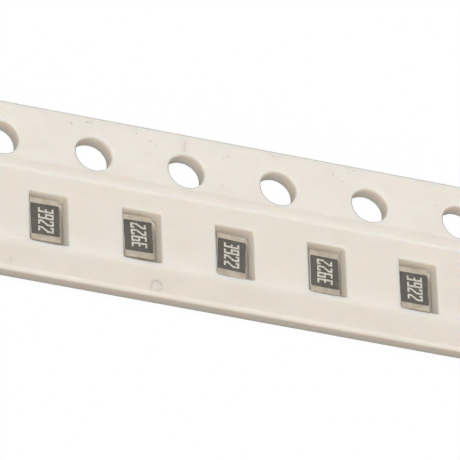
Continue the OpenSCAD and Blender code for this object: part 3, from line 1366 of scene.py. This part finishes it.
@dataclass(frozen=True)
class SealedTapes:
    """The clear cover tape over the pockets and the thin bottom tape under them."""

    layout: StripLayout
    palette: Palette
    card: CarrierCard
    lift: float = 0.004
    dish: float = 0.02
    bottom_dish_share: float = 0.3
    bead_height: float = 0.006
    far_bead: Point2 = (0.88, 0.13)
    near_bead: Point2 = (-2.53, 0.09)
    edge_fade: float = 0.12
    edge_thickness: float = 0.004
    step_x: float = 0.16
    step_y: float = 0.05

    def slab(self, name: str, box: Box, lower: Height, upper: Height) -> Mesh:
        """Builds a thin closed sheet between two height functions.

        Args:
            name: Name of the mesh.
            box: Box that gives its outline in plan.
            lower: Height of its lower face at arrays of X and Y.
            upper: Height of its upper face.

        Returns:
            The mesh.
        """
        xs = np.linspace(box.low.x, box.high.x, round(box.size.x / self.step_x) + 1)
        ys = np.linspace(box.low.y, box.high.y, round(box.size.y / self.step_y) + 1)
        x, y = (v.ravel() for v in np.meshgrid(xs, ys, indexing="ij"))
        points = [*zip(x, y, upper(x, y)), *zip(x, y, lower(x, y))]
        index = np.arange(len(x)).reshape(len(xs), len(ys))
        faces = grid_faces(*index.shape)
        faces += [f[::-1] for f in grid_faces(*index.shape, start=index.size)]
        rim = [*index[0], *index[1:, -1], *index[-1, -2::-1], *index[-2:0:-1, 0]]
        faces += [[a, b, b + index.size, a + index.size] for a, b in zip(rim, rim[1:] + rim[:1])]
        return mesh_from(name, points, faces)

    def pocket_depth(self, x: np.ndarray, y: np.ndarray) -> np.ndarray:
        """Returns the dish over a pocket: 1 over its middle, falling to 0 at its walls.

        Args:
            x: X of each point.
            y: Y of each point.

        Returns:
            The share at each point.
        """
        outline = self.card.outline
        across = np.clip(1 - (self.layout.from_pocket(x) / (outline.width / 2)) ** 2, 0, 1)
        along = np.clip(1 - ((y - self.card.pocket_y) / (outline.length / 2)) ** 2, 0, 1)
        return across * along

    def bead(self, y: np.ndarray) -> np.ndarray:
        """Returns the share of squeezed adhesive at each Y, along each track's inner side, which also sets
        the painted light streak on the cover tape.
        """
        beads = (self.near_bead, self.far_bead)
        return sum(np.exp(-(((y - middle) / width) ** 2)) for middle, width in beads)

    def build_cover(self) -> None:
        """Builds the cover tape."""
        box, top = self.layout.cover, self.layout.top
        body = box.high.z - top - self.lift - self.bead_height

        def lower(x: np.ndarray, y: np.ndarray) -> np.ndarray:
            """Returns the height of the face that lies on the card."""
            return top + self.lift - (self.card.tracks.sink(y, box) + self.dish * self.pocket_depth(x, y))

        def upper(x: np.ndarray, y: np.ndarray) -> np.ndarray:
            """Returns the height of the outer face, which thins towards the long edges."""
            share = smooth_step(0, self.edge_fade, np.minimum(y - box.low.y, box.high.y - y))
            thickness = (body + self.bead_height * self.bead(y)) * share
            return np.minimum(lower(x, y) + self.edge_thickness * (1 - share) + thickness, box.high.z)

        mesh = self.slab("cover_film", box, lower, upper)
        # The bead share also carries the painted light streak into the film's material.
        mark(mesh, "bead", self.bead(np.array([v.co.y for v in mesh.vertices]) / MM))
        close_and_smooth(mesh, merge_mm=0.0002, sharp_degrees=50)
        add_piece(mesh, self.palette.film, "cover_tape", "cover_tape")

    def build_bottom(self) -> None:
        """Builds the bottom tape, which dishes a little into each pocket."""
        box = self.layout.bottom
        dish = self.bottom_dish_share * self.dish

        def lower(x: np.ndarray, y: np.ndarray) -> np.ndarray:
            """Returns the height of the face that the strip lies on."""
            return box.low.z + dish * self.pocket_depth(x, y)

        def upper(x: np.ndarray, _: np.ndarray) -> np.ndarray:
            """Returns the height of the face that is sealed to the card."""
            return np.full_like(x, box.high.z - self.lift)

        mesh = self.slab("bottom_tissue", box, lower, upper)
        places = np.array([v.co for v in mesh.vertices]) / MM
        # The open share also sets the painted shade of the pocket floors.
        mark(mesh, "open", self.pocket_depth(places[:, 0], places[:, 1]))
        close_and_smooth(mesh, merge_mm=0.0002, sharp_degrees=50)
        add_piece(mesh, self.palette.tissue, "bottom_tape", "bottom_tape")


# Traces of punching and handling


@dataclass(frozen=True)
class LineMark:
    """Thin lines that stand a little proud of a face, or lie just under it."""

    lines: tuple[tuple[Point2, ...], ...]
    width: float
    step: float
    foot: float
    crest: float

    def mesh(self, name: str, level: float) -> Mesh:
        """Builds the lines on a flat face at a height."""
        heights = (level + self.foot, level + self.crest)
        return stroke_mesh(name, self.lines, self.width, self.step, lambda x, y: heights)


@dataclass(frozen=True)
class Traces:
    """Specks in the card, fibres that the punches leave on its rims, a crease, and a scuffed blister."""

    layout: StripLayout
    palette: Palette
    card: CarrierCard
    specks: tuple[Point2, ...] = (
        (-6.95, 3.5), (-6.25, 3.7), (-6.1, 3.7), (-4.15, 3.6), (-3.55, 3.35), (-3.3, 3.2), (-3.75, 2.7),
        (-0.15, 3.3), (-0.4, 3.2), (-0.5, 1.85), (4.4, 3.4), (5.1, 3.6), (4.8, 3.15), (8.9, 2.85),
        (1.8, 3.75), (7.7, -3.6),
    )
    scattered: int = 150
    scattered_size: Point2 = (0.25, 0.6)
    far_crowding: float = 1.8
    opening_gap: float = 0.15
    edge_gap: float = 0.2
    speck_r: float = 0.024
    flattest: Point3 = (0.7, 0.6, 0.12)
    fullest: Point3 = (1.6, 1.1, 0.22)
    fibres_per_hole: int = 34
    fibres_per_pocket: int = 26
    fibre_length: float = 0.16
    fibre_r: float = 0.0045
    fibre_root: float = -0.15
    fibre_bend: float = 0.45
    fibre_tip: float = 0.8
    fibre_rise: float = 0.22
    fibre_size: Point2 = (0.25, 0.7)
    fibre_sway: Point3 = (3.1, 0.5, 1.2)
    fibre_foot: float = 0.03
    fibre_band: float = 0.25
    crease: LineMark = LineMark(
        lines=(((-2.04, 3.7), (-2.05, 3.5), (-2.08, 3.3), (-2.07, 3.14)),),
        width=0.03,
        step=0.06,
        foot=-0.01,
        crest=0.0015,
    )
    scuffs: LineMark = LineMark(
        lines=(
            ((-3.76, -3.78), (-3.7, -3.52), (-3.62, -3.31), (-3.45, -3.26), (-3.28, -3.36), (-3.27, -3.48)),
            ((-3.52, -3.77), (-3.4, -3.73), (-3.32, -3.66), (-3.3, -3.58)),
            ((-9.69, -3.46), (-9.7, -3.72)),
        ),
        width=0.05,
        step=0.05,
        foot=-0.014,
        crest=-0.003,
    )
    seed: int = 11

    def clear(self, x: float, y: float) -> bool:
        """Tells whether a place is on the card, away from the holes and the pockets.

        Args:
            x: X of the place.
            y: Y of the place.

        Returns:
            True where it is clear of every opening.
        """
        strip, pocket = self.layout, self.card.outline
        holes = [*strip.hole_xs, -strip.card.high.x, strip.card.high.x]
        hole = min(math.hypot(x - h, y - strip.hole_y) for h in holes)
        beside = abs(strip.from_pocket(x)) > pocket.width / 2 + self.opening_gap
        beyond = abs(y - self.card.pocket_y) > pocket.length / 2 + self.opening_gap
        return hole > strip.hole_r + self.opening_gap and (beside or beyond)

    def build_specks(self) -> None:
        """Builds the specks: a few plain ones, and many fine ones scattered at random."""
        drawn = random.Random(self.seed)
        places = [(x, y, 1.0) for x, y in self.specks]
        corner, gap = self.layout.card.high, self.edge_gap
        while len(places) < len(self.specks) + self.scattered:
            x = drawn.uniform(-corner.x + gap, corner.x - gap)
            y = corner.y - gap - 2 * (corner.y - gap) * drawn.random() ** self.far_crowding
            if self.clear(x, y):
                places.append((x, y, drawn.uniform(*self.scattered_size)))
        x, y, share = np.array(places).T
        level = corner.z - self.card.relief(self.layout.from_pocket(x), y)
        mesh = mesh_from("speck_places", zip(x, y, level))
        mark(mesh, "share", share.tolist())
        t = GeometryTree("card_specks", {"Radius": self.speck_r * MM, "Seed": self.seed})
        ball = t.get("GeometryNodeMeshIcoSphere", {"Radius": t.source["Radius"], "Subdivisions": 2})
        shape = {0: t.between(self.flattest, self.fullest), "Scale": t.attribute("share")}
        size = t.get("ShaderNodeVectorMath", shape, operation="SCALE")
        turn = t.between((0.0, 0.0, 0.0), (0.0, 0.0, math.tau))
        laid = t.instances(t.source["Geometry"], ball, Rotation=turn, Scale=size)
        add_piece(t.run(laid, self.palette.dirt, mesh), self.palette.dirt, "card")

    def rims(self) -> list[tuple[float, float, float, float]]:
        """Draws places on the punched rims.

        Returns:
            For each place X, Y and Z, and the angle in which it faces into its opening.
        """
        drawn = random.Random(self.seed + 1)
        places = []
        top, foot = self.layout.top - self.card.rim_r, self.layout.foot + self.fibre_foot
        for x in self.layout.hole_xs:
            for _ in range(self.fibres_per_hole):
                a = drawn.uniform(0, math.tau)
                z = drawn.choice((foot, foot, drawn.uniform(foot, top)))
                r = self.layout.hole_r + self.card.hole_flare * (top - z)
                places.append((x + r * math.cos(a), self.layout.hole_y + r * math.sin(a), z, a + math.pi))
        ring = self.card.outline.ring(0.0)
        along = np.roll(ring, -1, axis=0) - ring
        for x in self.layout.pocket_xs:
            for _ in range(self.fibres_per_pocket):
                k = drawn.randrange(len(ring))
                z = drawn.uniform(top - self.fibre_band, top)
                inward = math.atan2(along[k][0], -along[k][1])
                places.append((x + ring[k][0], self.card.pocket_y + ring[k][1], z, inward))
        return places

    def build_fuzz(self) -> None:
        """Builds the loose fibres: short bent hairs that start in the punched walls."""
        places = np.array(self.rims())
        mesh = mesh_from("fuzz_places", places[:, :3])
        mark(mesh, "facing", places[:, 3].tolist())
        values = {"Length": self.fibre_length * MM, "Radius": self.fibre_r * MM, "Seed": self.seed}
        t = GeometryTree("punch_fuzz", values)
        length = t.source["Length"]
        rise = t.math("MULTIPLY", length, self.fibre_rise)
        bend = {
            "Resolution": 6,
            "Start": t.vector(t.math("MULTIPLY", length, self.fibre_root)),
            "Middle": t.vector(t.math("MULTIPLY", length, self.fibre_bend), 0.0, rise),
            "End": t.vector(t.math("MULTIPLY", length, self.fibre_tip), rise),
        }
        bent = t.get("GeometryNodeCurveQuadraticBezier", bend)
        section = t.get("GeometryNodeCurvePrimitiveCircle", {"Resolution": 5, "Radius": t.source["Radius"]})
        sides = {"Curve": bent, "Profile Curve": section, "Fill Caps": True}
        hair = t.get("GeometryNodeCurveToMesh", sides)
        sway = t.between(tuple(-v for v in self.fibre_sway), self.fibre_sway)
        facing = {0: t.vector(0.0, 0.0, t.attribute("facing")), 1: sway}
        turn = t.get("ShaderNodeVectorMath", facing, operation="ADD")
        size = t.between(*((share,) * 3 for share in self.fibre_size))
        laid = t.instances(t.source["Geometry"], hair, Rotation=turn, Scale=size)
        add_piece(t.run(laid, self.palette.fuzz, mesh), self.palette.fuzz, "card")

    def build_lines(self) -> None:
        """Builds the crease in the card and the scuffs on the cover tape."""
        crease = self.crease.mesh("card_crease", self.layout.top)
        add_piece(crease, self.palette.fuzz, "card")
        scuffs = self.scuffs.mesh("cover_scuffs", self.layout.cover.high.z)
        add_piece(scuffs, self.palette.scuff, "cover_tape")

    def build(self) -> None:
        """Builds every trace."""
        self.build_specks()
        self.build_fuzz()
        self.build_lines()


# The chips


class Reading(Enum):
    """Which way a chip's marking reads, as the chip lies in its pocket."""

    TOWARDS_NEAR_EDGE = -1
    TOWARDS_FAR_EDGE = 1


@dataclass(frozen=True)
class Numerals:
    """A plain stencilled number drawn with strokes of even width."""

    number: str = "3922"
    height: float = 0.585
    width: float = 0.175
    advance: float = 0.305
    stroke: float = 0.08
    step: float = 0.05

    STROKES: ClassVar[dict[str, tuple[tuple[Point2, ...], ...]]] = {
        "2": (((0, 0.8), (0, 1), (1, 1), (1, 0.62), (0, 0.2), (0, 0), (1, 0)),),
        "3": (((0, 1), (1, 1), (1, 0), (0, 0)), ((0.25, 0.5), (0.82, 0.5))),
        "9": (((1, 0.5), (0, 0.5), (0, 1), (1, 1), (1, 0), (0, 0)),),
    }

    def lines(self) -> list[list[Point2]]:
        """Lays out the number, centred on the origin.

        Returns:
            The centre line of every stroke.
        """
        left = -(len(self.number) - 1) / 2 * self.advance - self.width / 2
        lines = []
        for k, numeral in enumerate(self.number):
            x = left + k * self.advance
            for stroke in self.STROKES[numeral]:
                lines.append([(x + u * self.width, (v - 0.5) * self.height) for u, v in stroke])
        return lines


@dataclass(frozen=True)
class ChipResistor:
    """One chip resistor: its glaze, its plated ends and its marking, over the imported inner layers."""

    name: str
    palette: Palette
    reading: Reading
    seed: int
    length: float = 2.0
    width: float = 1.25
    plating: float = 0.03
    plating_side: float = 0.004
    plating_columns: int = 15
    plating_edge: float = 0.009
    sharp_degrees: float = 40.0
    grain: float = 0.005
    grain_push: Point3 = (0.0, 0.6, 0.5)
    grain_scale: float = 9.0
    grain_step: float = 5.3
    substrate_top: float = 0.42
    electrode_top: float = 0.44
    top_pad: float = 0.275
    under_pad: float = 0.4
    bend_r: float = 0.06
    bend_steps: int = 6
    glaze_side: float = 0.018
    glaze_corner_r: float = 0.06
    glaze_rim: float = 0.036
    glaze_crown: float = 0.024
    glaze_rings: tuple[float, ...] = (0.985, 0.96, 0.9, 0.78, 0.6, 0.4, 0.2)
    glaze_roll: float = 0.008
    even_rim: float = 0.9
    glaze_foot: Point3 = (0.985, 0.99, 0.002)
    glaze_shoulder: float = 0.4
    glaze_arch: Point2 = (2.4, 3.2)
    ragged: float = 0.012
    waves: tuple[Point3, ...] = ((1.0, 4.5, 3.1), (0.5, 14.0, 7.7))
    ink_heights: Point2 = (-0.002, 0.004)
    skew_degrees: float = 1.2
    shift: Point2 = (0.02, 0.03)

    @property
    def glaze_half(self) -> Point2:
        """Half of the glaze's width and of its length."""
        return self.width / 2 - self.glaze_side, self.length / 2 - self.top_pad

    def lie(self) -> Matrix:
        """Measures how the chip lies from its packed substrate.

        Returns:
            The move from the chip's own frame to its place, with its shift in metres.
        """
        mesh = frame["nodes"][f"{self.name}_substrate"].data
        points = np.unique(np.round(np.array([v.co[:] for v in mesh.vertices]) / MM, 5), axis=0)
        middle = (points.min(axis=0) + points.max(axis=0)) / 2
        plan = points[:, :2] - middle[:2]
        values, axes = np.linalg.eigh(plan.T @ plan)
        along = axes[:, int(np.argmax(values))]
        along = along if along[1] > 0 else -along
        turn = math.atan2(-along[0], along[1])
        if self.reading is Reading.TOWARDS_FAR_EDGE:
            turn += math.pi
        foot = Box.of(f"{self.name}_terminations").low.z
        place = Vector((float(middle[0]), float(middle[1]), foot)) * MM
        return Matrix.Translation(place) @ Matrix.Rotation(turn, 4, "Z")

    def add(self, mesh: Mesh, material: Material, slot: str, *nodes: str) -> None:
        """Moves a mesh from the chip's own frame to the chip's place, and adds it as a piece."""
        mesh.transform(self.lie())
        add_piece(mesh, material, slot, *nodes)

    def glaze_height(self, x: float, y: float) -> float:
        """Returns the height of the glaze's upper face above the chip's underside, in the chip's frame."""
        falls = (min(abs(v) / half, 1) ** p for v, half, p in zip((x, y), self.glaze_half, self.glaze_arch))
        return self.electrode_top + self.glaze_rim + self.glaze_crown * math.prod(1 - f for f in falls)

    def glaze_edge(self) -> list[Point2]:
        """Draws the slightly uneven outline that screen printing leaves.

        Returns:
            Its points, counter-clockwise.
        """
        half_w, half_l = self.glaze_half
        outline = RoundedOutline(2 * half_w, 2 * half_l, self.glaze_corner_r, corner_steps=5, side_steps=22)
        noise.seed_set(self.seed)
        edge = []
        for x, y in outline.ring(0.0):
            push = 0.0
            for share, scale, step in self.waves:
                push += share * self.ragged * noise.noise(Vector((x * scale, y * scale, self.seed * step)))
            away = Vector((x / half_w, y / half_l)).normalized()
            edge.append((x + away.x * push, y + away.y * push))
        return edge

    def build_glaze(self) -> None:
        """Builds the overcoat as rings from its foot up to its crown."""
        half_w, half_l = self.glaze_half
        edge = self.glaze_edge()
        count = len(edge)
        foot_w, foot_l, foot = self.glaze_foot
        points = [(x * foot_w, y * foot_l, self.substrate_top + foot) for x, y in edge]
        points += [(x, y, self.electrode_top + self.glaze_shoulder * self.glaze_rim) for x, y in edge]
        for shrink in self.glaze_rings:
            along = shrink if shrink < self.even_rim else 1 - (1 - shrink) * half_w / half_l
            roll = self.glaze_roll if shrink == self.glaze_rings[0] else 0
            ring = [(x * shrink, y * along) for x, y in edge]
            points += [(x, y, self.glaze_height(x, y) - roll) for x, y in ring]
        faces = grid_faces(len(points) // count, count, closed=True)
        last = len(points) - count
        faces += [[last + k, last + (k + 1) % count, len(points)] for k in range(count)]
        faces.append(list(range(count))[::-1])
        points.append((0, 0, self.glaze_height(0, 0)))
        mesh = mesh_from(f"{self.name}_glaze", points, faces)
        close_and_smooth(mesh, merge_mm=0.0001, sharp_degrees=60)
        self.add(mesh, self.palette.overcoat, "overcoat", f"{self.name}_overcoat")

    def wrap_section(self) -> list[Point2]:
        """Draws one plated end in section, along Y and Z, bent round the chip's end.

        Returns:
            The outline's points.
        """
        end, top, r = self.length / 2, self.electrode_top + self.plating, self.bend_r
        arc = quarter_turn(self.bend_steps)
        return [
            (end - self.top_pad, self.substrate_top),
            (end - self.top_pad, top),
            *((end - r + r * sin, top - r + r * cos) for _, sin, cos in arc),
            *((end - r + r * cos, r - r * sin) for _, sin, cos in arc),
            (end - self.under_pad, 0.0),
            (end - self.under_pad, self.plating),
            (end - self.plating, self.plating),
            (end - self.plating, self.substrate_top),
        ]

    def build_plating(self) -> None:
        """Builds the two plated ends, with softened edges and a grainy surface."""
        section = self.wrap_section()
        half = self.width / 2 + self.plating_side
        work = bmesh.new()
        for end in (1, -1):
            rings = []
            for x in np.linspace(-half, half, self.plating_columns):
                rings.append([work.verts.new((x, end * y, z)) for y, z in section])
            for a, b in zip(rings, rings[1:]):
                for a0, a1, b1, b0 in zip(a, a[1:] + a[:1], b[1:] + b[:1], b):
                    work.faces.new((a0, a1, b1, b0))
            work.faces.new(rings[0])
            work.faces.new(rings[-1][::-1])
        bmesh.ops.recalc_face_normals(work, faces=work.faces)
        limit = math.radians(self.sharp_degrees)
        sharp = [e for e in work.edges if len(e.link_faces) == 2 and e.calc_face_angle(0.0) > limit]
        bmesh.ops.bevel(work, geom=sharp, offset=self.plating_edge, segments=2, profile=0.5, affect="EDGES")
        for vertex in work.verts:
            place = vertex.co * self.grain_scale + Vector((0, 0, self.seed * self.grain_step))
            vertex.co += Vector(self.grain_push) * self.grain * noise.noise(place)
            vertex.co *= MM
        mesh = bpy.data.meshes.new(f"{self.name}_plated_ends")
        work.to_mesh(mesh)
        work.free()
        close_and_smooth(mesh, merge_mm=0.0001, sharp_degrees=45)
        self.add(mesh, self.palette.plating, "termination", f"{self.name}_terminations")

    def build_marking(self) -> None:
        """Builds the printed number as a thin layer of ink on the glaze."""
        numerals = Numerals()
        drift = random.Random(self.seed)
        skew = math.radians(drift.uniform(-self.skew_degrees, self.skew_degrees))
        shift_x, shift_y = (drift.uniform(-s, s) for s in self.shift)
        sin, cos = math.sin(skew), math.cos(skew)

        def heights(x: float, y: float) -> Point2:
            """Returns the heights of the ink's underside and of its top."""
            low, high = (self.glaze_height(x, y) + h for h in self.ink_heights)
            return low, high

        lines = []
        for line in numerals.lines():
            lines.append([(v * cos - u * sin + shift_x, -(u * cos + v * sin) + shift_y) for u, v in line])
        mesh = stroke_mesh(f"{self.name}_marking", lines, numerals.stroke, numerals.step, heights)
        self.add(mesh, self.palette.ink, "marking")

    def build(self) -> None:
        """Builds the chip's outer pieces and finishes its packed inner ones."""
        self.build_glaze()
        self.build_plating()
        self.build_marking()
        dress(frame["nodes"][f"{self.name}_substrate"], self.palette.alumina)
        dress(frame["nodes"][f"{self.name}_inner_electrodes"], self.palette.electrode)
        dress(frame["nodes"][f"{self.name}_resistive_film"], self.palette.resistor)


# The studio


@dataclass(frozen=True)
class Studio:
    """Pale floor, soft light and the camera."""

    layout: StripLayout
    floor_half: float = 3000.0
    floor_gap: float = 0.002
    world_light: float = 0.42
    key_light: float = 0.65
    key_direction: Point3 = (-0.24, -0.3, 0.92)
    key_softness: float = 60.0
    lens: float = 689.55
    clip: Point2 = (10.0, 10000.0)
    camera_at: Point3 = (-116.005, -189.386, 277.814)
    camera_right: Point3 = (0.92943, -0.03029, 0.36775)
    camera_down: Point3 = (0.17237, -0.84556, -0.50529)

    def build_floor(self) -> None:
        """Lays the floor under the strip."""
        h, z = self.floor_half, self.layout.bottom.low.z - self.floor_gap
        mesh = mesh_from("floor", [(-h, -h, z), (h, -h, z), (h, h, z), (-h, h, z)], [[0, 1, 2, 3]])
        floor = make_object("floor", mesh)
        dress(floor, FloorFinish().material())

    def build_world(self) -> None:
        """Makes the surroundings: white where they are seen, and dimmer as a light."""
        world = bpy.data.worlds.new("studio")
        bpy.context.scene.world = world
        world.use_nodes = True
        t = NodeGraph(world.node_tree)
        seen = t.seen_by("Camera", "Glossy")
        strength = t.get("ShaderNodeMapRange", {0: seen, 3: self.world_light, 4: 1.0})
        sky = t.get("ShaderNodeBackground", {"Strength": strength})
        t.add("ShaderNodeOutputWorld", {"Surface": sky})

    def build_key(self) -> None:
        """Adds the soft overhead light, set back so that near walls fall into shade."""
        lamp = bpy.data.lights.new("key", "SUN")
        lamp.angle = math.radians(self.key_softness)
        lamp.energy = math.pi * self.key_light / Vector(self.key_direction).normalized().z
        key = make_object("key", lamp)
        key.rotation_mode = "QUATERNION"
        key.rotation_quaternion = Vector(self.key_direction).to_track_quat("Z", "Y")

    def build_camera(self) -> None:
        """Adds the camera, which looks down on the strip from its near left side."""
        data = bpy.data.cameras.new("camera")
        data.lens = self.lens
        data.clip_start, data.clip_end = (distance * MM for distance in self.clip)
        right, down = Vector(self.camera_right).normalized(), Vector(self.camera_down)
        up = -(down - right * down.dot(right)).normalized()
        turn = Matrix((right, up, right.cross(up))).transposed().to_4x4()
        camera = make_object("camera", data)
        camera.matrix_world = Matrix.Translation(Vector(self.camera_at) * MM) @ turn
        bpy.context.scene.camera = camera

    def build(self) -> None:
        """Builds the studio."""
        self.build_floor()
        self.build_world()
        self.build_key()
        self.build_camera()
        bpy.context.scene.view_settings.view_transform = "Standard"


def main() -> None:
    """Builds the strip piece by piece."""
    logging.basicConfig(level=logging.INFO, format="%(message)s")
    layout = StripLayout.read()
    palette = Palette()
    Studio(layout).build()
    card = CarrierCard(layout, palette)
    card.build()
    tapes = SealedTapes(layout, palette, card)
    tapes.build_bottom()
    tapes.build_cover()
    Traces(layout, palette, card).build()
    near, far = Reading.TOWARDS_NEAR_EDGE, Reading.TOWARDS_FAR_EDGE
    for k, (chip, reading) in enumerate(zip(layout.chips, (far, near, far, near, far, near, near)), 1):
        ChipResistor(chip, palette, reading, seed=k).build()


if __name__ == "__main__":
    main()
